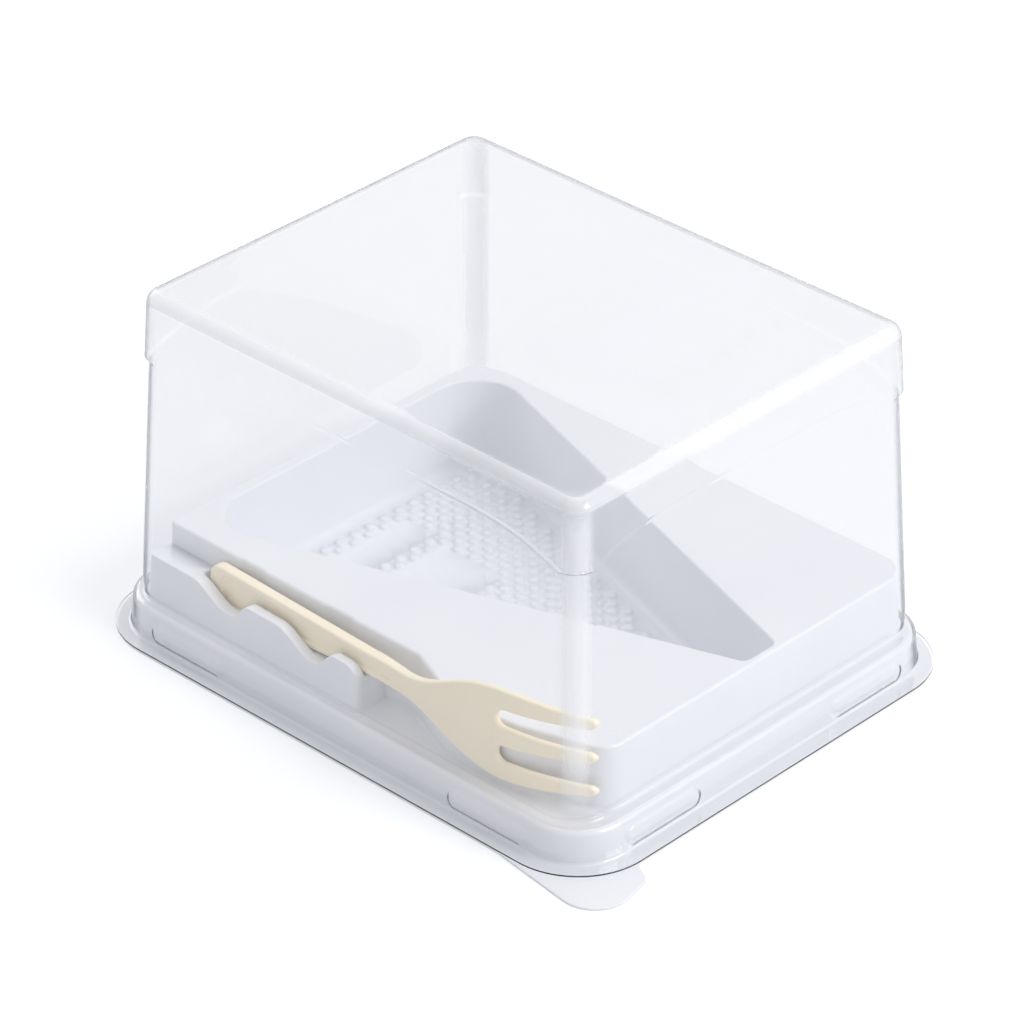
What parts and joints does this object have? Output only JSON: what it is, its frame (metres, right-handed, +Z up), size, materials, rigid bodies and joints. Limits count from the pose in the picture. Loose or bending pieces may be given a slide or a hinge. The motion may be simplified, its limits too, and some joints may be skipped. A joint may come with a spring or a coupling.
{
  "type": "dessert container with clear lid",
  "caption": "Clear box-shaped plastic lid over a white formed tray with a wedge-shaped cake pocket and a cream dessert fork stood on edge in a slot along the front.",
  "frame": {"origin": "under the middle of the overall box, in the plane that the tray's flange rests on", "axes": "+X along the long side of the pack, -Y towards the side with the fork, +Z up through the lid's top"},
  "size_m": [0.173, 0.1378, 0.0925],
  "materials": {
    "clear_plastic": "crystal-clear thermoformed sheet, glossy on both sides",
    "white_plastic": "thin white thermoformed sheet, soft gloss, slightly translucent",
    "cream_plastic": "moulded cream plastic, satin gloss"
  },
  "bodies": {
    "tray": {"base_tray": "white_plastic", "dessert_fork": "cream_plastic"},
    "lid": {"clear_lid": "clear_plastic"}
  },
  "joints": [
    {"name": "lid_lift", "type": "slide", "parent": "tray", "child": "lid", "axis": [0, 0, 1], "range_m": [0, 0.12]}
  ]
}
